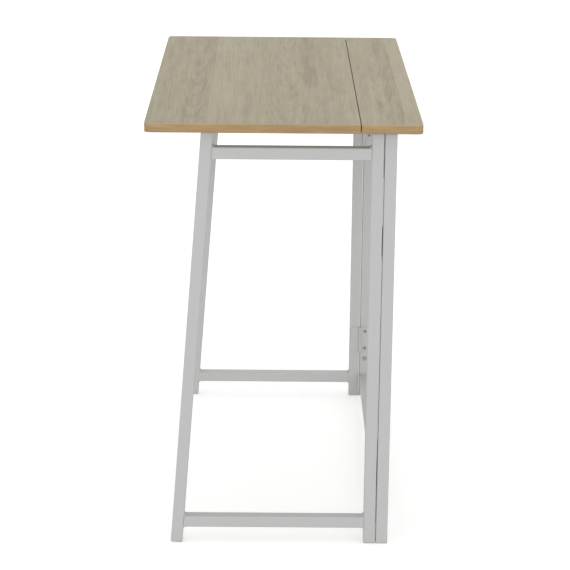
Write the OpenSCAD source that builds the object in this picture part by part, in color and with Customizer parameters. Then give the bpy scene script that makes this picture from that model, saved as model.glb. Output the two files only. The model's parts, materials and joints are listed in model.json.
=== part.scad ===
// Folding desk: a wooden top in two parts on a frame of square steel tube.
// Two side gates swing in against the rear frame, and the front leaf is hinged to the fixed rear strip.
// X runs along the desktop, Y from its front edge to its back edge, and Z is up.
// The origin is on the floor under the middle of the desktop. Left and right are the sitter's.

/* [Desktop] */
// Length of the desktop
top_l = 800; // [700:10:1200]
// Depth of the desktop, front leaf and rear strip together
top_d = 450; // [430:10:600]
// Height of the desktop's upper face above the floor
desk_h = 740; // [680:5:780]
// Thickness of the two boards
board_t = 15; // [14:1:25]
// Depth of the fixed rear strip
strip_d = 100; // [92:0.5:120]
// Gap between the front leaf and the rear strip
split_gap = 1; // [1:0.5:4]
// Radius of the desktop's four outer corners
corner_r = 10; // [4:1:30]
// Thickness of the edging round each board
edging_t = 0.5; // [0.4:0.1:2]

/* [Frame] */
// Width of the square tube
tube_w = 20; // [18:1:25]
// Radius of the tube's outer corners
tube_r = 2; // [1:0.5:3]
// Thickness of the tube's wall
tube_wall = 1.2; // [1:0.1:1.8]
// Inset of the side frames' outer faces from the desktop's ends
side_inset = 20; // [5:1:60]
// Overhang of the desktop behind the uprights
back_overhang = 40.35; // [25:0.05:50]
// Distance of the front feet from the desktop's front edge, at the floor
front_foot_inset = 37; // [10:1:60]
// Distance of the front legs from the desktop's front edge, at its underside
front_top_inset = 91; // [60:1:120]
// Height of the lower rails above the floor
low_rail_h = 28.5; // [15:0.5:60]
// Distance of the gates' top rails below the desktop
top_rail_drop = 28.5; // [15:0.5:60]
// Distance of the rear top rail below the desktop
rear_rail_drop = 65; // [20:1:100]
// Gap between a gate's rear leg and its upright
gate_gap = 1.3; // [0.5:0.1:4]
// Running gap between the gates' tops and the desktop
slide_gap = 0.3; // [0.2:0.1:1]

// Thickness of the plates that carry the strip
strip_plate_t = 3; // [2:0.5:4]
// Reach of a strip plate from its upright
strip_plate_l = 50; // [44:1:80]

/* [Feet and plugs] */
// Height of a foot below its tube
foot_h = 8; // [4:1:15]
// Height of a top plug above a gate's leg
plug_h = 3; // [2:0.5:6]
// Depth of a foot or plug inside its tube
insert_l = 12; // [8:1:20]
// Wall of the hollow insert
insert_wall = 1.5; // [1:0.1:2]
// Clearance of the insert inside the tube
insert_gap = 0.15; // [0.1:0.05:0.3]
// Height of the small hole plug on each upright
hole_plug_z = 81; // [75:1:95]
// Radius of the small plug's hole
hole_plug_r = 2.5; // [2:0.1:3]
// Radius of the small plug's head
hole_plug_head_r = 5; // [3.5:0.1:6]
// Height of the small plug's head
hole_plug_head_h = 1.5; // [1:0.1:2]
// Depth of the small plug inside the upright
hole_plug_l = 5; // [3:1:10]

/* [Gate hinges] */
// Height of a gate hinge
gate_hinge_l = 52; // [44:1:60]
// Reach of each plate from the pin's axis
gate_hinge_reach = 18.5; // [17:0.5:20]
// Thickness of the plates
gate_plate_t = 2; // [1.5:0.1:2.5]
// Radius of the knuckles
gate_knuckle_r = 3; // [2.8:0.1:4]
// Radius of the pins
gate_pin_r = 1.5; // [1:0.1:1.8]
// Height of the lower hinges' middle
gate_hinge_low = 123; // [116:1:200]
// Height of the upper hinges' middle
gate_hinge_high = 534; // [400:1:580]
// Distance of the two screws from the hinge's middle
gate_screw_z = 18; // [10:0.5:18]

/* [Leaf hinges] */
// Length of a leaf hinge
leaf_hinge_l = 50; // [40:1:70]
// Reach of each plate from the pin's axis
leaf_hinge_reach = 22; // [18:0.5:30]
// Thickness of the plates
leaf_plate_t = 1.5; // [1.2:0.1:1.8]
// Radius of the knuckles
leaf_knuckle_r = 2.5; // [2.3:0.1:3.5]
// Radius of the pins
leaf_pin_r = 1.25; // [0.8:0.05:1.5]
// Distance of the outer leaf hinges' middles from the desktop's ends
leaf_hinge_inset = 140; // [100:5:180]
// Distance of the two screws from the hinge's middle
leaf_screw_x = 16; // [10:0.5:17]
// Distance of the screws from the pin's axis
leaf_screw_y = 14; // [9:0.5:14]
// Running gap between a leaf hinge's knuckles and the boards
knuckle_drop = 0.3; // [0.2:0.1:1]

/* [Screws] */
// Radius of the gate hinges' and strip's screws
big_screw_r = 2; // [1.5:0.1:2.2]
// Radius of their heads
big_head_r = 3.7; // [3.2:0.1:4.2]
// Height of their heads
big_head_h = 2; // [1.5:0.1:2.5]
// Length of a gate hinge's screw under its head
gate_screw_l = 8; // [6:1:12]
// Distance of the strip's outer screws from the uprights
strip_screw_inset = 12; // [8:1:18]
// Distance of the strip's inner screws from the outer ones
strip_screw_pitch = 26; // [12:1:30]
// Depth of the strip's screws in the board
strip_screw_bite = 10; // [8:1:11]
// Radius of the leaf hinges' screws
small_screw_r = 1.5; // [1.2:0.1:1.8]
// Radius of their heads
small_head_r = 2.8; // [2.4:0.1:3.2]
// Height of their heads
small_head_h = 1.2; // [1:0.1:1.6]
// Length of a leaf hinge's screw under its head
leaf_screw_l = 11; // [8:1:12]

/* [Hidden] */
$fn = 48;

// Clearances: round a screw, a pin, and between a hinge's knuckles
screw_gap = 0.05;
pin_gap = 0.05;
knuckle_gap = 0.3;
// Extra length of a cut past the face that it opens
cut = 1;
// Shares of a round head's radius: its flat top, and the width of its cross recess
crown_share = 0.75;
recess_share = 0.22;

// Desktop
under_z = desk_h - board_t;
front_y = -top_d / 2;
back_y = top_d / 2;
split_y = back_y - strip_d - split_gap / 2;
leaf_d = split_y - split_gap / 2 - front_y;

// Frame: tube axes, and the ends of the legs
bore_w = tube_w - 2 * tube_wall;
bore_r = max(tube_r - tube_wall, 0.2);
side_x = top_l / 2 - side_inset - tube_w / 2;
inner_x = side_x - tube_w / 2;
upright_y = back_y - back_overhang - tube_w / 2;
rear_leg_y = upright_y - tube_w - gate_gap;
pin_y = (upright_y + rear_leg_y) / 2;
pin_x = inner_x - gate_knuckle_r;
gate_top_z = under_z - slide_gap;
low_rail_z = low_rail_h + tube_w / 2;
gate_rail_z = under_z - top_rail_drop - tube_w / 2;
rear_rail_z = under_z - rear_rail_drop - tube_w / 2;

// Front legs: their lean, and their length measured along the lean
front_foot_y = front_y + front_foot_inset;
lean = atan((front_top_inset - front_foot_inset) / under_z);
lean_low = tube_w * tan(lean);
lean_high = gate_top_z / cos(lean);

// Leaf hinges
leaf_seat = leaf_knuckle_r + knuckle_drop;
leaf_pin_z = under_z - leaf_seat;
leaf_hinge_x = top_l / 2 - leaf_hinge_inset;
leaf_hinge_xs = [-leaf_hinge_x, 0, leaf_hinge_x];
strip_screw_out = inner_x - strip_screw_inset;
strip_screw_in = strip_screw_out - strip_screw_pitch;
strip_screw_xs = [-strip_screw_out, -strip_screw_in, strip_screw_in, strip_screw_out];
gate_hinge_zs = [gate_hinge_low, gate_hinge_high];

// Knuckles in a gate hinge and in a leaf hinge, shared in turn by the two plates
gate_knuckles = 3;
leaf_knuckles = 5;

// Colours
grey_coat = [0.75, 0.75, 0.74];
grey_plastic = [0.73, 0.73, 0.72];
oak_top = [0.67, 0.64, 0.57];
oak_edge = [0.68, 0.57, 0.42];
zinc = [0.66, 0.67, 0.68];
dark_zinc = [0.40, 0.41, 0.42];

// The side frames are drawn on the right and mirrored to the left
module left_side() { mirror([1, 0, 0]) children(); }
module both_sides() { children(); left_side() children(); }

// Square with rounded corners, centred
module tube_section(w, r) {
    square([w - 2 * r, w], center = true);
    square([w, w - 2 * r], center = true);
    for (x = [r - w / 2, w / 2 - r], y = [r - w / 2, w / 2 - r]) translate([x, y]) circle(r);
}

// Hollow tube upwards from the origin
module square_tube(l) {
    linear_extrude(l) difference() {
        tube_section(tube_w, tube_r);
        tube_section(bore_w, bore_r);
    }
}

// Plastic end: a head as wide as the tube, and a hollow insert that goes up into it
module tube_end(head_h) {
    insert_w = bore_w - 2 * insert_gap;
    linear_extrude(head_h) tube_section(tube_w, tube_r);
    translate([0, 0, head_h]) linear_extrude(insert_l) difference() {
        tube_section(insert_w, bore_r);
        square(insert_w - 2 * insert_wall, center = true);
    }
}

// Round-headed screw: head above the seat at the origin, shank below it, cross recess on top
module screw(head_r, head_h, shank_r, l) {
    difference() {
        union() {
            cylinder(h = head_h / 2, r = head_r);
            translate([0, 0, head_h / 2]) cylinder(h = head_h / 2, r1 = head_r, r2 = head_r * crown_share);
        }
        for (a = [0, 90]) rotate(a) translate([0, 0, head_h])
            cube([head_r, head_r * recess_share, head_h], center = true);
    }
    translate([0, 0, -l]) cylinder(h = l, r = shank_r);
}

// One plate of a butt hinge. The pin's axis is Z through the origin, the plate lies towards +Y,
// and its mounting face looks towards +X. The knuckles are counted from below, from first.
module hinge_plate(l, reach, t, knuckle_r, seat, bore, count, first) {
    step = l / count;
    start = knuckle_r + knuckle_gap;
    difference() {
        union() {
            translate([seat - t, start, -l / 2]) cube([t, reach - start, l]);
            for (i = [first : 2 : count - 1]) translate([0, 0, i * step - l / 2 + knuckle_gap / 2]) {
                translate([seat - t, 0, 0]) cube([t, start, step - knuckle_gap]);
                cylinder(h = step - knuckle_gap, r = knuckle_r);
            }
        }
        translate([0, 0, -l]) cylinder(h = 2 * l, r = bore);
    }
}

// Hinge pin, centred on the hinge, a little proud of the knuckles at both ends
module hinge_pin(l, r) {
    cylinder(h = l + 2 * knuckle_gap, r = r, center = true);
}

// Desktop outline from the rounded front edge at y = 0 back to the square edge at y = d
module board_outline(d, inset) {
    r = corner_r - inset;
    half = top_l / 2 - inset;
    translate([-half, r + inset]) square([2 * half, d - 2 * inset - r]);
    translate([r - half, inset]) square([2 * (half - r), r]);
    for (x = [r - half, half - r]) translate([x, r + inset]) circle(r);
}

module board(d) {
    linear_extrude(board_t) board_outline(d, edging_t);
}

module edging(d) {
    linear_extrude(board_t) difference() {
        board_outline(d, 0);
        board_outline(d, edging_t);
    }
}

module at_leaf() { translate([0, front_y, under_z]) children(); }
module at_strip() { translate([0, back_y, under_z]) mirror([0, 1, 0]) children(); }

// Rear frame
module upright() {
    difference() {
        translate([side_x, upright_y, foot_h]) square_tube(under_z - foot_h - strip_plate_t);
        for (z = gate_hinge_zs) at_gate_screws(z)
            cylinder(h = 4 * tube_wall, r = big_screw_r + screw_gap, center = true);
        at_hole_plug() cylinder(h = 4 * tube_wall, r = hole_plug_r, center = true);
    }
}

module upright_foot() {
    translate([side_x, upright_y, 0]) tube_end(foot_h);
}

// Plate on top of an upright: it closes the tube and reaches inwards under the strip
module strip_plate() {
    l = tube_w + strip_plate_l;
    difference() {
        translate([inner_x - strip_plate_l, upright_y - tube_w / 2, under_z - strip_plate_t])
            cube([l, tube_w, strip_plate_t]);
        strip_screw_holes();
    }
}

// Places on the upright's inner face: their Z axis points to the middle of the desk
module at_gate_screws(z) {
    for (dz = [-gate_screw_z, gate_screw_z])
        translate([inner_x, upright_y, z + dz]) rotate([0, -90, 0]) children();
}

module at_hole_plug() {
    translate([inner_x, upright_y, hole_plug_z]) rotate([0, -90, 0]) children();
}

module hole_plug() {
    rim = hole_plug_head_h / 2;
    at_hole_plug() {
        cylinder(h = rim, r = hole_plug_head_r);
        translate([0, 0, rim]) cylinder(h = rim, r1 = hole_plug_head_r, r2 = hole_plug_head_r * crown_share);
        translate([0, 0, -hole_plug_l]) cylinder(h = hole_plug_l, r = hole_plug_r - screw_gap);
    }
}

module rear_rail(z) {
    translate([-inner_x, upright_y, z]) rotate([0, 90, 0]) square_tube(2 * inner_x);
}

module at_strip_screws() {
    for (x = strip_screw_xs) translate([x, upright_y, under_z - strip_plate_t]) rotate([180, 0, 0]) children();
}

module strip_screw_holes() {
    hole_l = strip_plate_t + strip_screw_bite + screw_gap;
    at_strip_screws() translate([0, 0, -hole_l]) cylinder(h = hole_l + cut, r = big_screw_r + screw_gap);
}

// Leaf hinges hang under the split: turned so that the pin lies along X and the seat looks up
module at_leaf_hinge(x) {
    translate([x, split_y, leaf_pin_z]) rotate([0, -90, 0]) children();
}

module leaf_hinge_plate(x, first) {
    difference() {
        at_leaf_hinge(x) hinge_plate(leaf_hinge_l, leaf_hinge_reach, leaf_plate_t, leaf_knuckle_r,
            leaf_seat, leaf_pin_r + pin_gap, leaf_knuckles, first);
        at_leaf_screws(x) translate([0, 0, -cut - leaf_plate_t])
            cylinder(h = leaf_plate_t + 2 * cut, r = small_screw_r + screw_gap);
    }
}

// The leaf's plates are the strip's plates turned about the split
module leaf_side() { translate([0, 2 * split_y, 0]) mirror([0, 1, 0]) children(); }

// Seats of a leaf hinge's screws on the plate's lower face: their Z axis points down
module at_leaf_screws(x) {
    for (dx = [-leaf_screw_x, leaf_screw_x])
        translate([x + dx, split_y + leaf_screw_y, under_z - leaf_plate_t]) rotate([180, 0, 0]) children();
}

module leaf_screws() {
    for (x = leaf_hinge_xs) at_leaf_screws(x) screw(small_head_r, small_head_h, small_screw_r, leaf_screw_l);
}

module leaf_screw_holes() {
    hole_l = leaf_screw_l + screw_gap;
    for (x = leaf_hinge_xs) at_leaf_screws(x)
        translate([0, 0, -hole_l]) cylinder(h = hole_l + cut, r = small_screw_r + screw_gap);
}

// Gate hinges stand on the inner faces of the right upright and gate
module gate_hinge_plate(z, first) {
    translate([pin_x, pin_y, z]) hinge_plate(gate_hinge_l, gate_hinge_reach, gate_plate_t, gate_knuckle_r,
        gate_knuckle_r, gate_pin_r + pin_gap, gate_knuckles, first);
}

module fixed_gate_plate(z) {
    difference() {
        gate_hinge_plate(z, 0);
        at_gate_screws(z) cylinder(h = 4 * gate_plate_t, r = big_screw_r + screw_gap, center = true);
    }
}

module moving_gate_plate(z) {
    translate([0, 2 * pin_y, 0]) mirror([0, 1, 0]) gate_hinge_plate(z, 1);
}

// Gate parts. The leaning place has its origin at the front leg's front face on the floor.
module leaning() { translate([side_x, front_foot_y, 0]) rotate([-lean, 0, 0]) children(); }

module gate_rear_leg() {
    translate([side_x, rear_leg_y, foot_h]) square_tube(gate_top_z - foot_h - plug_h);
}

module gate_front_leg() {
    leaning() translate([0, tube_w / 2, lean_low + foot_h])
        square_tube(lean_high - lean_low - foot_h - plug_h);
}

module gate_rear_foot() {
    translate([side_x, rear_leg_y, 0]) tube_end(foot_h);
}

module gate_front_foot() {
    leaning() translate([0, tube_w / 2, lean_low]) tube_end(foot_h);
}

module gate_top_plugs() {
    translate([side_x, rear_leg_y, gate_top_z]) mirror([0, 0, 1]) tube_end(plug_h);
    leaning() translate([0, tube_w / 2, lean_high]) mirror([0, 0, 1]) tube_end(plug_h);
}

// A rail runs forward from the rear leg and is cut along the front leg's rear face
module gate_rail(z) {
    rear_face = rear_leg_y - tube_w / 2;
    difference() {
        translate([side_x, rear_face, z]) rotate([90, 0, 0]) square_tube(rear_face - front_foot_y);
        leaning() translate([-tube_w, -desk_h, -desk_h]) cube([2 * tube_w, desk_h + tube_w, 3 * desk_h]);
    }
}

// One module for each node: the rear frame
module left_upright() { color(grey_coat) left_side() upright(); }
module right_upright() { color(grey_coat) upright(); }
module rear_top_rail() { color(grey_coat) rear_rail(rear_rail_z); }
module rear_lower_rail() { color(grey_coat) rear_rail(low_rail_z); }
module left_upright_foot() { color(grey_plastic) left_side() upright_foot(); }
module right_upright_foot() { color(grey_plastic) upright_foot(); }
module left_strip_plate() { color(grey_coat) left_side() strip_plate(); }
module right_strip_plate() { color(grey_coat) strip_plate(); }
module hole_plugs() { color(grey_plastic) both_sides() hole_plug(); }
module rear_strip() {
    color(oak_top) difference() {
        at_strip() board(strip_d);
        strip_screw_holes();
        leaf_screw_holes();
    }
}
module rear_strip_edging() { color(oak_edge) at_strip() edging(strip_d); }
module strip_screws() {
    color(zinc) at_strip_screws() screw(big_head_r, big_head_h, big_screw_r, strip_plate_t + strip_screw_bite);
}
module left_lower_hinge_fixed_plate() { color(grey_coat) left_side() fixed_gate_plate(gate_hinge_low); }
module left_upper_hinge_fixed_plate() { color(grey_coat) left_side() fixed_gate_plate(gate_hinge_high); }
module right_lower_hinge_fixed_plate() { color(grey_coat) fixed_gate_plate(gate_hinge_low); }
module right_upper_hinge_fixed_plate() { color(grey_coat) fixed_gate_plate(gate_hinge_high); }
module gate_hinge_pins() {
    color(zinc) both_sides() for (z = gate_hinge_zs)
        translate([pin_x, pin_y, z]) hinge_pin(gate_hinge_l, gate_pin_r);
}
module gate_hinge_screws() {
    color(dark_zinc) both_sides() for (z = gate_hinge_zs) at_gate_screws(z)
        translate([0, 0, gate_plate_t]) screw(big_head_r, big_head_h, big_screw_r, gate_screw_l);
}
module left_leaf_hinge_fixed_plate() { color(zinc) leaf_hinge_plate(-leaf_hinge_x, 0); }
module middle_leaf_hinge_fixed_plate() { color(zinc) leaf_hinge_plate(0, 0); }
module right_leaf_hinge_fixed_plate() { color(zinc) leaf_hinge_plate(leaf_hinge_x, 0); }
module leaf_hinge_pins() {
    color(zinc) for (x = leaf_hinge_xs) at_leaf_hinge(x) hinge_pin(leaf_hinge_l, leaf_pin_r);
}
module leaf_hinge_fixed_screws() { color(zinc) leaf_screws(); }

// One module for each node: the gates
module left_gate_rear_leg() { color(grey_coat) left_side() gate_rear_leg(); }
module left_gate_front_leg() { color(grey_coat) left_side() gate_front_leg(); }
module left_gate_top_rail() { color(grey_coat) left_side() gate_rail(gate_rail_z); }
module left_gate_lower_rail() { color(grey_coat) left_side() gate_rail(low_rail_z); }
module left_gate_rear_foot() { color(grey_plastic) left_side() gate_rear_foot(); }
module left_gate_front_foot() { color(grey_plastic) left_side() gate_front_foot(); }
module left_gate_top_plugs() { color(grey_plastic) left_side() gate_top_plugs(); }
module left_lower_hinge_gate_plate() { color(grey_coat) left_side() moving_gate_plate(gate_hinge_low); }
module left_upper_hinge_gate_plate() { color(grey_coat) left_side() moving_gate_plate(gate_hinge_high); }
module right_gate_rear_leg() { color(grey_coat) gate_rear_leg(); }
module right_gate_front_leg() { color(grey_coat) gate_front_leg(); }
module right_gate_top_rail() { color(grey_coat) gate_rail(gate_rail_z); }
module right_gate_lower_rail() { color(grey_coat) gate_rail(low_rail_z); }
module right_gate_rear_foot() { color(grey_plastic) gate_rear_foot(); }
module right_gate_front_foot() { color(grey_plastic) gate_front_foot(); }
module right_gate_top_plugs() { color(grey_plastic) gate_top_plugs(); }
module right_lower_hinge_gate_plate() { color(grey_coat) moving_gate_plate(gate_hinge_low); }
module right_upper_hinge_gate_plate() { color(grey_coat) moving_gate_plate(gate_hinge_high); }

// One module for each node: the front leaf
module front_leaf() {
    color(oak_top) difference() {
        at_leaf() board(leaf_d);
        leaf_side() leaf_screw_holes();
    }
}
module front_leaf_edging() { color(oak_edge) at_leaf() edging(leaf_d); }
module left_leaf_hinge_moving_plate() { color(zinc) leaf_side() leaf_hinge_plate(-leaf_hinge_x, 1); }
module middle_leaf_hinge_moving_plate() { color(zinc) leaf_side() leaf_hinge_plate(0, 1); }
module right_leaf_hinge_moving_plate() { color(zinc) leaf_side() leaf_hinge_plate(leaf_hinge_x, 1); }
module leaf_hinge_moving_screws() { color(zinc) leaf_side() leaf_screws(); }

left_upright();
right_upright();
rear_top_rail();
rear_lower_rail();
left_upright_foot();
right_upright_foot();
left_strip_plate();
right_strip_plate();
hole_plugs();
rear_strip();
rear_strip_edging();
strip_screws();
left_lower_hinge_fixed_plate();
left_upper_hinge_fixed_plate();
right_lower_hinge_fixed_plate();
right_upper_hinge_fixed_plate();
gate_hinge_pins();
gate_hinge_screws();
left_leaf_hinge_fixed_plate();
middle_leaf_hinge_fixed_plate();
right_leaf_hinge_fixed_plate();
leaf_hinge_pins();
leaf_hinge_fixed_screws();
left_gate_rear_leg();
left_gate_front_leg();
left_gate_top_rail();
left_gate_lower_rail();
left_gate_rear_foot();
left_gate_front_foot();
left_gate_top_plugs();
left_lower_hinge_gate_plate();
left_upper_hinge_gate_plate();
right_gate_rear_leg();
right_gate_front_leg();
right_gate_top_rail();
right_gate_lower_rail();
right_gate_rear_foot();
right_gate_front_foot();
right_gate_top_plugs();
right_lower_hinge_gate_plate();
right_upper_hinge_gate_plate();
front_leaf();
front_leaf_edging();
left_leaf_hinge_moving_plate();
middle_leaf_hinge_moving_plate();
right_leaf_hinge_moving_plate();
leaf_hinge_moving_screws();
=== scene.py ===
import json
import bpy
import numpy as np
from mathutils import Matrix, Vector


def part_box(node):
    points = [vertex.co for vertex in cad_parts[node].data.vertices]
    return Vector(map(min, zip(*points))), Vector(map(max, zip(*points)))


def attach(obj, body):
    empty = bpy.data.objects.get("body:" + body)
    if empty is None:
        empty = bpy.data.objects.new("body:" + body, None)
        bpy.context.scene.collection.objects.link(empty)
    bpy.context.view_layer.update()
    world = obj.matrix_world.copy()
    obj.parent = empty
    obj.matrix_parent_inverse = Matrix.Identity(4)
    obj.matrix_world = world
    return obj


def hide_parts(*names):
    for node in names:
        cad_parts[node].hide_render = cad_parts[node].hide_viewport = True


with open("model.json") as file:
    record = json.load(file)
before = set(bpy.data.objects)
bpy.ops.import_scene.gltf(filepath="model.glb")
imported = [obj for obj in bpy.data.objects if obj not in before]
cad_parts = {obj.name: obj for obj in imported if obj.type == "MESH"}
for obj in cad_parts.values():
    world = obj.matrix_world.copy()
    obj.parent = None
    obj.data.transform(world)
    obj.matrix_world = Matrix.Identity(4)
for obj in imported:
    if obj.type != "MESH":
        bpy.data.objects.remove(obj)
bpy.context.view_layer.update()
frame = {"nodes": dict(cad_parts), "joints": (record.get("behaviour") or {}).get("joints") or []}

# Folding desk. Metres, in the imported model's frame: X runs along the desktop to the sitter's right, Y from
# its front edge to its back edge, and Z is up. Left and right are the sitter's.

# Camera. It stands off the desk's right-hand end, above the desktop, with a long lens, so that the desk's
# lines hardly converge. Its lens and sensor are in millimetres, its angles in degrees.
camera_place, camera_lens, sensor_w = (3.58093, -0.01776, 1.44362), 127.816, 36
yaw, pitch, roll = np.radians([0.39738, 17.01103, -0.55887])
ahead = np.array([-np.cos(yaw) * np.cos(pitch), np.sin(yaw) * np.cos(pitch), -np.sin(pitch)])
level = np.cross(ahead, [0, 0, 1])
level /= np.linalg.norm(level)
plumb = np.cross(level, ahead)
across = level * np.cos(roll) - plumb * np.sin(roll)
upward = level * np.sin(roll) + plumb * np.cos(roll)
camera = bpy.data.objects.new("camera", bpy.data.cameras.new("camera"))
camera.data.sensor_width, camera.data.lens = sensor_w, camera_lens
camera_pose = np.eye(4)
camera_pose[:3, :3] = np.column_stack([across, upward, -ahead])
camera_pose[:3, 3] = camera_place
camera.matrix_world = Matrix(camera_pose.tolist())
bpy.context.scene.collection.objects.link(camera)
bpy.context.scene.camera = camera

# Tubes. Uprights, gate legs and rails are 20 mm square steel tube, welded up and then coated with a satin
# light grey powder, which flows into a fine orange peel as it is baked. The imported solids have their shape.


class Value:
    """A shader socket in sums: an operator on it adds a Math node to its finish."""

    def __init__(self, finish, socket):
        self.finish, self.socket = finish, socket

    def maths(self, operation, *others):
        return self.finish.node("Math", {"operation": operation}, dict(enumerate((self, *others))))

    def __add__(self, other):
        return self.maths("ADD", other)

    def __sub__(self, other):
        return self.maths("SUBTRACT", other)

    def __mul__(self, other):
        return self.maths("MULTIPLY", other)

    def __truediv__(self, other):
        return self.maths("DIVIDE", other)

    def __pow__(self, other):
        return self.maths("POWER", other)

    def __rsub__(self, other):
        return self * -1 + other

    def __rtruediv__(self, other):
        return self ** -1 * other

    __radd__, __rmul__ = __add__, __mul__

    def between(self, low, high):
        """0 at low, 1 at high, smooth in between."""
        return self.finish.node("MapRange", {"interpolation_type": "SMOOTHSTEP"}, {0: self, 1: low, 2: high})


class Finish:
    """A material or the world as its nodes. Its shader's own sockets take constants by set() and what
    varies by a Value."""

    def __init__(self, block, **constants):
        block.use_nodes = True
        self.block, self.nodes, self.links = block, block.node_tree.nodes, block.node_tree.links
        self.shader = next(n for n in self.nodes if n.type in ("BSDF_PRINCIPLED", "BACKGROUND"))
        self.set(**constants)

    def put(self, socket, value):
        if isinstance(value, Value):
            self.links.new(value.socket, socket)
        elif hasattr(socket.default_value, "__len__"):
            socket.default_value = value if len(value) == len(socket.default_value) else (*value, 1)
        else:
            socket.default_value = value

    def set(self, **sockets):
        for name, value in sockets.items():
            self.put(self.shader.inputs[name.replace("_", " ")], value)

    def node(self, kind, settings={}, sockets={}, out=0):
        """Adds a node: its settings first, a ramp's stops and steps among them, then the values or links of
        its sockets."""
        made = self.nodes.new("ShaderNode" + kind)
        for name, value in settings.items():
            if name == "stops":
                ramp = made.color_ramp.elements
                while len(ramp) < len(value):
                    ramp.new(1)
                for stop, (place, colour) in zip(ramp, value):
                    stop.position, stop.color = place, (*colour, 1)[:4]
            elif name == "step":
                made.color_ramp.interpolation = "CONSTANT"
            else:
                setattr(made, name, value)
        for name, value in sockets.items():
            self.put(made.inputs[name], value)
        return Value(self, made.outputs[out])

    def parts(self, kind, whole):
        """The three numbers in a vector or a colour, out of one Separate node of that kind."""
        outputs = self.node(kind, {}, {0: whole}).socket.node.outputs
        return [Value(self, output) for output in outputs]

    def mix(self, share, first, second):
        """The first colour at share 0 and the second at share 1."""
        return self.node("Mix", {"data_type": "RGBA"}, {0: share, 6: first, 7: second}, 2)

    def place(self, scale=(1, 1, 1)):
        """Points of the piece in metres, scaled for a pattern."""
        return self.node("Mapping", {}, {0: self.node("TexCoord", out=3), 3: scale})

    def noise(self, points, size, detail):
        """Noise from 0 to 1 whose patches are about size across."""
        return self.node("TexNoise", {}, {0: points, "Scale": 1 / size, "Detail": detail})

    def bump(self, height, depth):
        """Normal of a relief: height 1 stands depth above height 0."""
        return self.node("Bump", {}, {"Height": height, "Distance": depth, "Strength": 1})


def tone(red, green, blue):
    """A colour as it looks on screen, 0 to 255 each, turned to the light that it reflects."""
    seen = np.array([red, green, blue]) / 255
    return tuple(np.where(seen > 0.04045, ((seen + 0.055) / 1.055) ** 2.4, seen / 12.92).tolist())


powder_coat = Finish(bpy.data.materials.new("powder_coat"), IOR=1.48, Specular_IOR_Level=0.3)
coat_cloud = powder_coat.noise(powder_coat.place(), 0.16, 3)
coat_grain = powder_coat.noise(powder_coat.place(), 0.0006, 1)
coat_peel = powder_coat.noise(powder_coat.place(), 0.0016, 2)
powder_coat.set(
    Base_Color=powder_coat.mix(coat_cloud * 0.7 + coat_grain * 0.3, tone(189, 190, 190), tone(195, 196, 194)),
    Roughness=0.44 + coat_cloud * 0.08 + coat_grain * 0.06,
    Normal=powder_coat.bump(coat_peel, 0.00005))


def dress(finish, *nodes):
    """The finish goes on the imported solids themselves, whose shape is right."""
    for name in nodes:
        for holder in frame["nodes"][name].material_slots:
            holder.material = finish.block


gate_parts = [f"{side}_gate_{part}" for side in ("left", "right")
              for part in ("rear_leg", "front_leg", "top_rail", "lower_rail")]
dress(powder_coat, "left_upright", "right_upright", "rear_top_rail", "rear_lower_rail", *gate_parts)


def middle(node):
    """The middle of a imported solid's box."""
    low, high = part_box(node)
    return (low + high) / 2


tube_w = 0.020
half_tube = tube_w / 2
tube_x, upright_y, _ = middle("right_upright")
inner_x, gate_leg_y = tube_x - half_tube, middle("right_gate_rear_leg").y
low_rail_z, gate_rail_z = middle("right_gate_lower_rail").z, middle("right_gate_top_rail").z
rear_rail_z = middle("rear_top_rail").z
board_low, board_high = (corner.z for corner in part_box("front_leaf"))

# Front face of the front leg at the floor and at the boards' underside, and the lean that these give
front_foot_y, front_top_y = -0.188, -0.134
slope = (front_top_y - front_foot_y) / board_low
lean = np.arctan(slope)

# Welds. Each rail end has a short bead on top, one underneath, and a third that is ground nearly flat: on a
# gate's inner side, or on the rear frame's back. The fourth side keeps a fine groove. The beads are coated
# with the tubes.


def skin(name, patches, finish, body, looped=False):
    """One piece of several patches. A patch is rows by columns of points: quads join neighbours, the last
    column joins the first, and one face closes each end row, or the last row joins the first where it is
    looped. Edges that bend by more than 40 degrees stay sharp."""
    points, faces, start = [], [], 0
    for patch in patches:
        rows, columns = patch.shape[:2]
        index = start + np.arange(rows * columns).reshape(rows, columns)
        here, there = (index, np.roll(index, -1, 0)) if looped else (index[:-1], index[1:])
        quads = np.stack([here, np.roll(here, -1, 1), np.roll(there, -1, 1), there], -1)
        faces += quads.reshape(-1, 4).tolist()
        if not looped:
            faces += [index[0, ::-1].tolist(), index[-1].tolist()]
        points.append(patch.reshape(-1, 3))
        start += rows * columns
    mesh = bpy.data.meshes.new(name)
    mesh.from_pydata(np.concatenate(points), [], faces)
    mesh.shade_smooth()
    mesh.set_sharp_from_angle(angle=np.radians(40))
    mesh.materials.append(finish.block)
    piece = bpy.data.objects.new(name, mesh)
    bpy.context.scene.collection.objects.link(piece)
    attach(piece, body)
    return piece


def mirrored(patches):
    """The same patches on the left side: X changes sign, and the columns run the other way round."""
    return [patch[:, ::-1] * [-1, 1, 1] for patch in patches]


def full_turn(steps):
    """Angles of that many even steps round a circle."""
    return np.linspace(0, 2 * np.pi, steps, endpoint=False)


# Directions, as on the desk's right side
upwards, downwards, inwards, forwards, backwards = (0, 0, 1), (0, 0, -1), (-1, 0, 0), (0, -1, 0), (0, 1, 0)

# A bead's half length, its throat, and its rise as a share of the throat: as laid, and ground nearly flat
laid_bead, ground_bead, ripple_pitch = (0.0082, 0.0029, 0.9), (0.0088, 0.0017, 0.22), 0.0018


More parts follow.
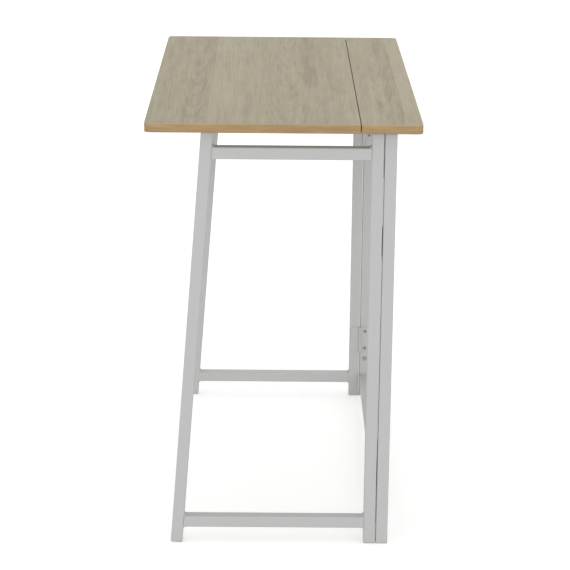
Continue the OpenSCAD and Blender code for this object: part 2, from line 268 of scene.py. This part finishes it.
def bead(start, end, over, up, throat, rise=0.9):
    """Weld bead in the corner between two faces, on a grid of its length and the angle round the corner's
    line. Its radius is the throat, times a blunt taper at both ends, times a ripple whose crests lag behind
    in the middle."""
    start, end, over, up = (np.array(v, float) for v in (start, end, over, up))
    if np.cross(over, up) @ (end - start) < 0:
        start, end = end, start
    along, angle = np.linspace(0, 1, 61)[:, None], full_turn(20)[None]
    taper = np.sqrt(1 - 0.998 * np.abs(2 * along - 1) ** 6)
    crest = along * np.linalg.norm(end - start) / ripple_pitch - 0.5 * np.cos(angle - np.pi / 4)
    radius = throat * taper * (1 + 0.07 * np.cos(2 * np.pi * crest))
    outward = 1.15 * np.cos(angle)[..., None] * over + rise * np.sin(angle)[..., None] * up
    return start + (end - start) * along[..., None] + radius[..., None] * outward


def rail_beads(place, over, faces, slant=0.0):
    """Beads round one rail end whose axis meets the leg's face at that place, on a leg whose Y grows by the
    slant with height. over points away from the leg. Beads above and below are as laid, those on the sides
    are ground."""
    over = np.array(over, float)
    beads = []
    for up in faces:
        up = np.array(up, float)
        root = np.array(place) + up * half_tube
        root[1] += slant * up[2] * half_tube
        if up[2]:
            along, (reach, throat, rise) = np.cross(over, up), laid_bead
        else:
            along, (reach, throat, rise) = np.array([0, slant, 1]), ground_bead
        beads.append(bead(root - along * reach, root + along * reach, over, up, throat, rise))
    return beads


gate_welds = []
for z in (low_rail_z, gate_rail_z):
    front_leg_back_y = front_foot_y + tube_w / np.cos(lean) + z * slope
    gate_welds += rail_beads((tube_x, gate_leg_y - half_tube, z), forwards, [upwards, downwards, inwards])
    gate_welds += rail_beads((tube_x, front_leg_back_y, z), (0, np.cos(lean), -np.sin(lean)),
                             [upwards, downwards, inwards], slope)

# Beads above and below each gate hinge's plate, between two distances from the pin
joint_places = {joint["name"]: joint["pos_m"] for joint in frame["joints"]}
pin_x, pin_y, _ = joint_places["right_gate_fold"]
gate_hinge_zs = [middle(f"right_{height}_hinge_fixed_plate").z for height in ("lower", "upper")]
gate_hinge_h, plate_bead_far, plate_bead_near, plate_bead_throat = 0.052, 0.016, 0.006, 0.0014
for z in gate_hinge_zs:
    for end in (-1, 1):
        far, near = ((inner_x, pin_y - distance, z + end * gate_hinge_h / 2)
                     for distance in (plate_bead_far, plate_bead_near))
        gate_welds.append(bead(far, near, (0, 0, end), inwards, plate_bead_throat))

# Beads between the rear frame's rails and uprights, and one under each strip plate
strip_plate_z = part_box("right_strip_plate")[0].z
strip_bead_reach, strip_bead_throat = 0.0082, 0.0020
front_end, back_end = ((inner_x, upright_y + side * strip_bead_reach, strip_plate_z) for side in (-1, 1))
rear_welds = [bead(front_end, back_end, inwards, downwards, strip_bead_throat)]
for z in (low_rail_z, rear_rail_z):
    rear_welds += rail_beads((inner_x, upright_y, z), inwards, [upwards, downwards, backwards])
for name, beads, body in (("right_gate_welds", gate_welds, "right_gate"),
                          ("left_gate_welds", mirrored(gate_welds), "left_gate"),
                          ("rear_frame_welds", rear_welds + mirrored(rear_welds), "rear_frame")):
    skin(name, beads, powder_coat, body)

# Feet and top plugs. Moulded grey plastic, pressed into the tubes' ends: a head as wide as the tube,
# rounded at its outer edge and undercut where it meets the steel, and an insert that the tube hides. The
# uprights' tops have no plugs, because a welded plate closes them.
grey_plastic = Finish(bpy.data.materials.new("grey_plastic"), IOR=1.46)
plastic_cloud = grey_plastic.noise(grey_plastic.place(), 0.012, 3)
plastic_grain = grey_plastic.noise(grey_plastic.place(), 0.0004, 2)
plastic_scuffs = grey_plastic.noise(grey_plastic.place((1, 1, 6)), 0.006, 4)
_, _, above_floor = grey_plastic.parts("SeparateXYZ", grey_plastic.place())
# Painted contact shade: the bottom 2.4 mm of each foot darkens towards the floor, in patches by the scuff
# noise
foot_contact_shade = above_floor.between(0.0024, 0.0004) * (0.35 + plastic_scuffs * 0.3)
plastic_recess_shade = grey_plastic.node("Attribute", {"attribute_name": "sunk"}, out=2)
plastic_colour = grey_plastic.mix(plastic_cloud, tone(187, 187, 182), tone(193, 193, 189))
# Painted contact shade along the feet's bottom edges
plastic_colour = grey_plastic.mix(foot_contact_shade, plastic_colour, tone(128, 127, 123))
# Painted shade, dark grey, in the grooves and recesses that the attribute marks
plastic_colour = grey_plastic.mix(plastic_recess_shade, plastic_colour, tone(70, 70, 68))
grey_plastic.set(
    Base_Color=plastic_colour,
    Roughness=0.46 + plastic_grain * 0.12 + plastic_scuffs * 0.06,
    Normal=grey_plastic.bump(plastic_grain, 0.00003))

tube_r, tube_wall, insert_gap, insert_l = 0.002, 0.0012, 0.00015, 0.012
foot_h, plug_h, gate_top_z = 0.008, 0.003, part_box("right_gate_top_plugs")[1].z


def tube_end(head, place, tilt=0.0, down=False):
    """Foot or plug. A rounded square is carried along Z: each row has an inset from the tube's outer face
    and a height, and its corners' radius shrinks with the inset. It is then turned about X and moved into
    place."""
    neck, steps = tube_wall + insert_gap, 48
    rim = np.array([(0.0042, 0), (0.0013, 0), (0.0007, 0.00015), (0.00025, 0.0005), (0, 0.0011),
                    (0, head - 0.0006), (0.0003, head - 0.0002), (0.0010, head - 0.0001), (neck, head),
                    (neck, head + insert_l - 0.0015), (0.0025, head + insert_l)])
    inset, height = rim[:, 0, None], rim[:, 1, None]
    angle = full_turn(steps)[None] + np.pi / steps
    corner = np.maximum(tube_r - inset, 0.0006)
    flat = half_tube - inset - corner
    x = np.sign(np.cos(angle)) * flat + corner * np.cos(angle)
    y = np.sign(np.sin(angle)) * flat + corner * np.sin(angle)
    points = np.stack([x, y, height + 0 * x], -1)
    if down:
        points = points[:, ::-1] * [1, 1, -1]
    cos_tilt, sin_tilt = np.cos(tilt), np.sin(tilt)
    return points @ np.array([[1, 0, 0], [0, cos_tilt, sin_tilt], [0, -sin_tilt, cos_tilt]]) + place


def leaning(height):
    """Point on the front leg's axis, at that height measured along the leg."""
    return [tube_x, front_foot_y + half_tube * np.cos(lean) + height * np.sin(lean),
            height * np.cos(lean) - half_tube * np.sin(lean)]


upright_foot = [tube_end(foot_h, [tube_x, upright_y, 0])]
rear_foot = [tube_end(foot_h, [tube_x, gate_leg_y, 0])]
front_foot = [tube_end(foot_h, leaning(tube_w * slope), -lean)]
gate_plugs = [tube_end(plug_h, [tube_x, gate_leg_y, gate_top_z], down=True),
              tube_end(plug_h, leaning(gate_top_z / np.cos(lean)), -lean, down=True)]
for right, kind, body in (
        (upright_foot, "upright_foot", "rear_frame"), (rear_foot, "gate_rear_foot", "{}_gate"),
        (front_foot, "gate_front_foot", "{}_gate"), (gate_plugs, "gate_top_plugs", "{}_gate")):
    for side, patches in (("right", right), ("left", mirrored(right))):
        piece = skin(f"{side}_{kind}_moulding", patches, grey_plastic, body.format(side))
        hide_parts(f"{side}_{kind}")

# Hole plugs. A small plug of the same plastic closes a spare hole low on each upright's inner face: a
# raised rim round a groove, and a domed middle. The groove is painted with shade, darkest at its top.


def square_to(axis):
    """Two directions that are square to each other and to an axis across Y."""
    side = np.cross(axis, [0, 1, 0])
    return side, np.cross(axis, side)


def turned(profile, centre, axis, steps):
    """A profile of radius and height turned round an axis through the centre: rows go up the profile."""
    angle = full_turn(steps)[None, :, None]
    side, other = square_to(axis)
    outward = np.cos(angle) * side + np.sin(angle) * other
    radius, height = np.array(profile, float).T[:, :, None, None]
    return np.array(centre) + height * np.array(axis) + radius * outward


def mark_sunk(piece, shares):
    """Painted shade for each point, from 0 in the open to 1 deep in a groove or recess, as an attribute of
    the piece's points.
    """
    sunk = piece.data.attributes.new("sunk", "FLOAT", "POINT")
    sunk.data.foreach_set("value", np.concatenate([share.ravel() for share in shares]).astype(np.float32))


# Radius, height over the tube's face and share of painted shade, from the plug's foot to its middle
plug_rings = np.array([
    (0.0018, -0.0050, 0), (0.0024, -0.0044, 0), (0.0024, 0, 0), (0.0048, 0, 0),
    (0.0050, 0.0003, 0), (0.0050, 0.0008, 0), (0.0048, 0.0012, 0), (0.0045, 0.0014, 0),
    (0.0042, 0.0015, 0), (0.0039, 0.0014, 0.1), (0.0037, 0.0011, 0.6), (0.0035, 0.0004, 1),
    (0.0032, 0.0002, 1), (0.0027, 0.0002, 1), (0.0024, 0.0003, 0.9), (0.0022, 0.0007, 0.4),
    (0.0019, 0.0010, 0.1), (0.0014, 0.0012, 0), (0.0008, 0.0013, 0), (0.0002, 0.00135, 0)])
plug_steps = 40
hole_plug = [turned(plug_rings[:, :2], (inner_x, upright_y, middle("hole_plugs").z), inwards, plug_steps)]
piece = skin("hole_plug_domes", hole_plug + mirrored(hole_plug), grey_plastic, "rear_frame")
# Painted shade in the groove is darkest at the top of the ring and falls to 0.45 of that at the bottom
towards_top = 0.5 - 0.5 * np.cos(full_turn(plug_steps))
plug_groove_shade = plug_rings[:, 2, None] * (0.45 + 0.55 * towards_top)
mark_sunk(piece, [plug_groove_shade, plug_groove_shade[:, ::-1]])
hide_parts("hole_plugs")

# Strip plates. A 3 mm steel plate is welded on top of each upright, closes it and reaches inwards under the
# fixed strip, which is screwed to it from below. Coated with the frame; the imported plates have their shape.
dress(powder_coat, "left_strip_plate", "right_strip_plate")

# Gate hinges. Steel butt hinges on the inner faces: one plate welded to the gate, one screwed to the
# upright, both coated with the frame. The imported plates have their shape.
dress(powder_coat, *[f"{side}_{height}_hinge_{plate}_plate" for side in ("left", "right")
                     for height in ("lower", "upper") for plate in ("fixed", "gate")])

# Pins and screws. Zinc-plated steel: pins with a small hollow in each end, and pan-head screws with a cross
# recess that hold the hinge plates and the strip. The gate hinges' screws are plated darker, and their cross
# recesses are painted with shade.
zinc = Finish(bpy.data.materials.new("zinc_plate"), Metallic=1)
zinc_tint = zinc.noise(zinc.place(), 0.007, 2)
zinc_streaks = zinc.noise(zinc.place((1, 6, 1)), 0.0012, 3)
zinc_pits = zinc.noise(zinc.place(), 0.0003, 2)
zinc.set(
    Base_Color=zinc.mix(zinc_tint * 0.7 + zinc_streaks * 0.3, tone(176, 180, 187), tone(206, 205, 197)),
    Roughness=0.26 + zinc_streaks * 0.16 + zinc_pits * 0.06,
    Normal=zinc.bump(zinc_pits * 0.4 + zinc_streaks * 0.6, 0.00002))

dark_zinc = Finish(bpy.data.materials.new("dark_zinc_plate"), Metallic=0.85)
dark_tint = dark_zinc.noise(dark_zinc.place(), 0.004, 2)
dark_pits = dark_zinc.noise(dark_zinc.place(), 0.0003, 2)
screw_recess_shade = dark_zinc.node("Attribute", {"attribute_name": "sunk"}, out=2)
dark_head = dark_zinc.mix(dark_tint, tone(160, 161, 163), tone(176, 176, 174))
dark_zinc.set(
    # Painted shade: the cross recess is darkened to near black where the attribute marks it
    Base_Color=dark_zinc.mix(screw_recess_shade, dark_head, tone(72, 72, 72)),
    Roughness=0.44 + dark_tint * 0.10 + dark_pits * 0.08,
    Normal=dark_zinc.bump(dark_pits, 0.00002))


def pin(centre, axis, length, radius):
    """Hinge pin: a straight rod with a hollow cone in each end, 0.4 of its radius deep, whose flat bottom
    has a quarter of its radius."""
    outwards = np.sin(np.linspace(0, np.pi / 2, 6))
    low = np.stack([radius * (0.25 + 0.75 * outwards), 0.4 * radius * (1 - outwards) - length / 2], -1)
    return turned(np.concatenate([low, low[::-1] * [1, -1]]), centre, axis, 24)


# Points of a screw's head as shares of its radius, from the rim in, and how deep they lie in the recess
screw_steps = 48
from_middle, bearing = np.linspace(0.02, 1, 25)[::-1, None], full_turn(screw_steps)[None]
head_x, head_y = from_middle * np.cos(bearing), from_middle * np.sin(bearing)
beside_arms = np.clip((0.17 - np.minimum(np.abs(head_x), np.abs(head_y))) / 0.07, 0, 1)
head_sunk = beside_arms * np.clip((0.66 - from_middle) / 0.12, 0, 1)


def pan_screw(seat, axis, radius, height, shank, length):
    """Screw with its seat at the given point and its head along the axis. Over the head, height falls from
    the crown to the rim as a flattened dome, less a cross whose arms are two soft-edged bars that fade
    outwards."""
    below = turned([(shank * 0.3, -length), (shank, -length + shank), (shank, 0), (radius * 0.97, 0),
                    (radius, height * 0.12)], seat, axis, screw_steps)
    top = height * (0.45 + 0.55 * np.sqrt(1 - 0.999 * from_middle ** 3.2)) - 0.62 * height * head_sunk
    side, other = square_to(axis)
    sideways = radius * (head_x[..., None] * side + head_y[..., None] * other)
    return np.concatenate([below, np.array(seat) + sideways + top[..., None] * np.array(axis)])


pin_overhang, gate_pin_r, gate_plate_t, gate_screw_z = 0.0003, 0.0015, 0.002, 0.018
big_head_r, big_head_h, big_shank_r, gate_screw_l, strip_screw_l = 0.0037, 0.002, 0.002, 0.008, 0.013
strip_screw_xs = (-0.348, -0.322, 0.322, 0.348)
gate_pins = [pin((pin_x, pin_y, z), upwards, gate_hinge_h + 2 * pin_overhang, gate_pin_r)
             for z in gate_hinge_zs]
piece = skin("gate_hinge_domed_pins", gate_pins + mirrored(gate_pins), zinc, "rear_frame")
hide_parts("gate_hinge_pins")
gate_screws = [pan_screw((inner_x - gate_plate_t, upright_y, z + side * gate_screw_z), inwards,
                         big_head_r, big_head_h, big_shank_r, gate_screw_l)
               for z in gate_hinge_zs for side in (-1, 1)]
piece = skin("gate_hinge_pan_screws", gate_screws + mirrored(gate_screws), dark_zinc, "rear_frame")
# Share of painted shade over each screw: none on the shank, the recess depth over the head
screw_shade_share = np.concatenate([np.zeros((len(gate_screws[0]) - len(head_sunk), screw_steps)), head_sunk])
mark_sunk(piece, [screw_shade_share] * len(gate_screws) + [screw_shade_share[:, ::-1]] * len(gate_screws))
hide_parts("gate_hinge_screws")
strip_fixings = [pan_screw((x, upright_y, strip_plate_z), downwards, big_head_r, big_head_h, big_shank_r,
                           strip_screw_l) for x in strip_screw_xs]
piece = skin("strip_pan_screws", strip_fixings, zinc, "rear_frame")
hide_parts("strip_screws")

# Boards. The front leaf and the fixed strip are 15 mm chipboard, both cut from one sheet that is faced with
# a matt oak print: staves of uneven width side by side along the desktop, each sawn from its own log.
oak_print = Finish(bpy.data.materials.new("oak_print"), IOR=1.45, Specular_IOR_Level=0.2)


def sawn_oak(finish):
    """Tone of the staves and share of late wood, each from 0 to 1. A stave has its front edge, its tone,
    the place of its log's heart across the desk and the heart's depth: growth rings are where the distance
    from that sloping heart line is a whole number of ring widths, so they show as straight lines far from
    the heart and as long arches over it. One darker streak fades in towards the desk's left end."""
    staves = [(-0.2250, 0.40, -0.152, 0.010), (-0.1670, 0.53, -0.152, 0.010), (-0.1265, 0.22, -0.030, 0.050),
              (-0.0750, 0.34, -0.300, 0.060), (-0.0400, 0.40, 0.010, 0.022), (0.0625, 0.42, 0.200, 0.040),
              (0.0980, 0.30, -0.060, 0.050), (0.1250, 0.36, 0.168, 0.006), (0.1730, 0.56, 0.168, 0.006),
              (0.1975, 0.10, 0.330, 0.060)]
    top_depth, ring_w, deepest = 0.45, 0.0045, 0.10
    sway_by, wander_by, heart_slope, least_depth = 0.012, 0.004, 0.05, 0.012
    stops = [(edge / top_depth + 0.5, (stave_tone, heart + 0.5, depth / deepest))
             for edge, stave_tone, heart, depth in staves]
    x, y, _ = finish.parts("SeparateXYZ", finish.place())
    table = finish.node("ValToRGB", {"step": True, "stops": stops}, {0: y / top_depth + 0.5})
    stave_tone, heart, depth = finish.parts("SeparateColor", table)
    sway = finish.noise(finish.place((1, 4, 1)), 0.09, 3)
    wander = finish.noise(finish.place((0.25, 1, 1)), 0.010, 2)
    aside = y - heart + 0.5 + (sway - 0.5) * sway_by + (wander - 0.5) * wander_by
    under = depth * deepest + x * heart_slope + least_depth
    rings = (aside * aside + under * under) ** 0.5 / ring_w
    late = rings.maths("FRACT").between(0.25, 0.95) - rings.maths("FRACT").between(0.93, 1.0)
    patchy = finish.noise(finish.place((2, 12, 1)), 0.12, 2).between(0.3, 0.7)
    streak = (y + sway * 0.004).between(0.034, 0.042) * y.between(0.0625, 0.0605) * x.between(0.14, -0.02)
    return stave_tone + streak * 0.32, late * patchy


stave_shade, late_wood = sawn_oak(oak_print)
fibres = oak_print.noise(oak_print.place((0.03, 1, 1)), 0.0011, 3)
lines = oak_print.noise(oak_print.place((0.03, 1, 1)), 0.0036, 2)
wide_streaks = oak_print.noise(oak_print.place((0.06, 1, 1)), 0.013, 2)
pores = oak_print.noise(oak_print.place((0.10, 1, 1)), 0.0005, 1).between(0.60, 0.72)
mottle = oak_print.noise(oak_print.place((0.35, 1, 1)), 0.022, 3)
shade = (late_wood * 0.30 + stave_shade * 0.86 + (fibres - 0.5) * 0.34 + (lines - 0.5) * 0.62
         + (wide_streaks - 0.5) * 0.80 + (mottle - 0.5) * 0.50 - 0.05)
board_colour = oak_print.mix(shade, tone(180, 171, 149), tone(145, 135, 112))
board_colour = oak_print.mix(pores * 0.25, board_colour, tone(122, 110, 90))
oak_print.set(
    Base_Color=board_colour,
    Roughness=0.58 + fibres * 0.10 + pores * 0.08,
    Normal=oak_print.bump(1 - pores * 0.7 - fibres * 0.3, 0.00006))
dress(oak_print, "front_leaf", "rear_strip")

# Edging. A 0.5 mm oak-coloured strip is glued round each board and trimmed flush, with a small round on its
# outer edges. Its print is warmer than the boards' and streaked along its length. The walls of the split
# are painted dark brown, as shade in the narrow gap.
_, split_y, leaf_pin_z = joint_places["front_leaf_lift"]
edge_print = Finish(bpy.data.materials.new("edge_print"), IOR=1.47)
run, rise, _ = edge_print.parts("SeparateXYZ", edge_print.node("UVMap"))


def along_edge(length, height):
    """Points on the edging's own run and height, shrunk so that patches come out length long, height high."""
    return edge_print.node("CombineXYZ", {}, {0: run / length, 1: rise / height})


edge_streaks = edge_print.noise(along_edge(0.060, 0.0016), 1, 3)
edge_fibres = edge_print.noise(along_edge(0.014, 0.0003), 1, 2)
edge_clouds = edge_print.noise(along_edge(0.070, 0.020), 1, 2)
edge_shade = edge_streaks * 1.20 + edge_fibres * 0.40 + edge_clouds * 0.80 - 0.68
# Painted highlight along the top arris and painted shade along the bottom arris of the edging
top_arris_highlight = rise.between(board_high - 0.0022, board_high - 0.0004)
bottom_arris_shade = rise.between(board_low + 0.0018, board_low + 0.0002)
_, edge_y, _ = edge_print.parts("SeparateXYZ", edge_print.place())
# Painted shade on the edging walls that face each other across the split
split_shade = (edge_y - split_y).maths("ABSOLUTE").between(0.0010, 0.0007)
edge_colour = edge_print.mix(edge_shade, tone(188, 158, 112), tone(138, 109, 68))
# Painted highlight on the top arris, then painted shade on the bottom arris
edge_colour = edge_print.mix(top_arris_highlight * 0.45, edge_colour, tone(190, 175, 150))
edge_colour = edge_print.mix(bottom_arris_shade * 0.50, edge_colour, tone(142, 126, 104))
edge_colour = edge_print.mix(split_shade, edge_colour, tone(66, 54, 40))
edge_print.set(
    Base_Color=edge_colour,
    Roughness=0.48 + edge_fibres * 0.14,
    Normal=edge_print.bump(edge_fibres, 0.00003))

edging_t, arris_r, corner_r, split_corner_r, corner_steps = 0.0005, 0.0004, 0.010, 0.0006, 17


def edging(name, front_r, back_r, node, body):
    """Edging as a profile carried round the board. The path is a rectangle whose corners are arcs; the
    profile is 0.5 mm by 15 mm, its two outer corners quarter rounds. UV is the run along the outer path and
    the height."""
    (x0, y0, low_z), (x1, y1, high_z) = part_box(node)
    centres, outward, radius = [], [], []
    for x, y, bend, first in ((x1, y0, front_r, -90), (x1, y1, back_r, 0), (x0, y1, back_r, 90),
                              (x0, y0, front_r, 180)):
        angle = np.radians(np.linspace(first, first + 90, corner_steps))
        centre = x - np.sign(x) * bend, y + bend if y == y0 else y - bend
        centres.append(np.tile(centre, (corner_steps, 1)))
        outward.append(np.stack([np.cos(angle), np.sin(angle)], -1))
        radius.append(np.full(corner_steps, bend))
    centres, outward, radius = np.concatenate(centres), np.concatenate(outward), np.concatenate(radius)
    angle = np.radians(np.linspace(0, 90, 6))
    inwards_by, lift = arris_r * (1 - np.sin(angle)), arris_r * (1 - np.cos(angle))
    inset = np.concatenate([[edging_t, edging_t], inwards_by, inwards_by[::-1]])
    height = np.concatenate([[high_z, low_z], low_z + lift, (high_z - lift)[::-1]])
    reach = radius[:, None] - inset[None]
    rows, columns = reach.shape
    level_points = centres[:, None] + reach[..., None] * outward[:, None]
    points = np.concatenate([level_points, np.broadcast_to(height[None, :, None], (rows, columns, 1))], -1)
    piece = skin(name, [points[:, ::-1]], edge_print, body, looped=True)
    path = centres + radius[:, None] * outward
    runs = np.concatenate([[0], np.cumsum(np.linalg.norm(np.roll(path, -1, 0) - path, axis=1))])
    row, column = np.divmod(np.arange(rows * columns), columns)
    heights, next_column = height[::-1], (column + 1) % columns
    u = np.stack([runs[row], runs[row], runs[row + 1], runs[row + 1]], -1)
    v = np.stack([heights[column], heights[next_column], heights[next_column], heights[column]], -1)
    uv = piece.data.uv_layers.new(name="run_and_height")
    uv.data.foreach_set("uv", np.stack([u, v], -1).astype(np.float32).ravel())
    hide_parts(node)


edging("front_leaf_banding", corner_r, split_corner_r, "front_leaf_edging", "front_leaf_body")
edging("rear_strip_banding", split_corner_r, corner_r, "rear_strip_edging", "rear_frame")

# Leaf hinges. Three small zinc-plated butt hinges lie under the split, screwed up into both boards. The
# packed plates have their shape; pins and screws are made like the gate hinges'.
hinge_places = ("left", "middle", "right")
dress(zinc, *[f"{place}_leaf_hinge_{plate}_plate" for place in hinge_places for plate in ("fixed", "moving")])
leaf_hinge_xs = [middle(f"{place}_leaf_hinge_fixed_plate").x for place in hinge_places]
leaf_hinge_l, leaf_pin_r, leaf_plate_t, leaf_screw_x, leaf_screw_y = 0.050, 0.00125, 0.0015, 0.016, 0.014
small_head_r, small_head_h, small_shank_r, leaf_screw_l = 0.0028, 0.0012, 0.0015, 0.011
leaf_pins = [pin((x, split_y, leaf_pin_z), (1, 0, 0), leaf_hinge_l + 2 * pin_overhang, leaf_pin_r)
             for x in leaf_hinge_xs]
piece = skin("leaf_hinge_domed_pins", leaf_pins, zinc, "rear_frame")
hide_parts("leaf_hinge_pins")
for name, from_split, node, body in (
        ("leaf_hinge_strip_pan_screws", leaf_screw_y, "leaf_hinge_fixed_screws", "rear_frame"),
        ("leaf_hinge_leaf_pan_screws", -leaf_screw_y, "leaf_hinge_moving_screws", "front_leaf_body")):
    screws = [pan_screw((x + side * leaf_screw_x, split_y + from_split, board_low - leaf_plate_t), downwards,
                        small_head_r, small_head_h, small_shank_r, leaf_screw_l)
              for x in leaf_hinge_xs for side in (-1, 1)]
    piece = skin(name, screws, zinc, body)
    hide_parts(node)

# Studio. A wide white floor, an even pale surround and five soft suns: one from above, one from the
# camera's end of the desk, one each from the front and back corners at that end, and one from the far end.
# Camera, gloss and glass rays see the surround as white, and the floor keeps the desk's shadow.


def seen(finish):
    """1 for camera, gloss and glass rays, which show the surround, and 0 for those that light the desk."""
    camera_ray, gloss_ray, glass_ray = (finish.node("LightPath", out=kind) for kind in (0, 3, 6))
    return (camera_ray + gloss_ray + glass_ray).maths("MINIMUM", 1)


bpy.context.scene.world = bpy.data.worlds.new("surround")
surround = Finish(bpy.context.scene.world)
surround_light, floor_tone, floor_glow, floor_half = (0.36,) * 3, (0.90,) * 3, (0.38,) * 3, 30
surround.set(Color=surround.mix(seen(surround), surround_light, (1, 1, 1)), Strength=1)
paper = Finish(bpy.data.materials.new("paper_floor"), Roughness=1, Specular_IOR_Level=0)
paper.set(Base_Color=floor_tone, Emission_Strength=1,
          Emission_Color=paper.mix(seen(paper), (0, 0, 0), floor_glow))
floor_corners = [(floor_half * x, floor_half * y, 0) for x, y in ((-1, -1), (1, -1), (1, 1), (-1, 1))]
floor_mesh = bpy.data.meshes.new("floor")
floor_mesh.from_pydata(floor_corners, [], [(0, 1, 2, 3)])
floor_mesh.materials.append(paper.block)
floor = bpy.data.objects.new("floor", floor_mesh)
bpy.context.scene.collection.objects.link(floor)

# Each sun's strength, spread in degrees and the way that its light goes
suns = {"top_light": (0.42, 60, (0.1, 0, -1)), "near_light": (0.70, 24, (-1, 0, -0.24)),
        "front_light": (0.85, 90, (-0.68, 1, -0.36)), "back_light": (0.85, 90, (-0.68, -1, -0.36)),
        "far_light": (0.80, 90, (1, 0, -0.4))}
for name, (strength, spread, way) in suns.items():
    lamp = bpy.data.objects.new(name, bpy.data.lights.new(name, "SUN"))
    lamp.data.energy, lamp.data.angle = strength, np.radians(spread)
    back = -np.array(way, float) / np.linalg.norm(way)
    side = np.cross([0, 0, 1], back)
    side /= np.linalg.norm(side)
    lamp_pose = np.eye(4)
    lamp_pose[:3, :3] = np.column_stack([side, np.cross(back, side), back])
    lamp.matrix_world = Matrix(lamp_pose.tolist())
    bpy.context.scene.collection.objects.link(lamp)
bpy.context.scene.view_settings.view_transform = "Standard"
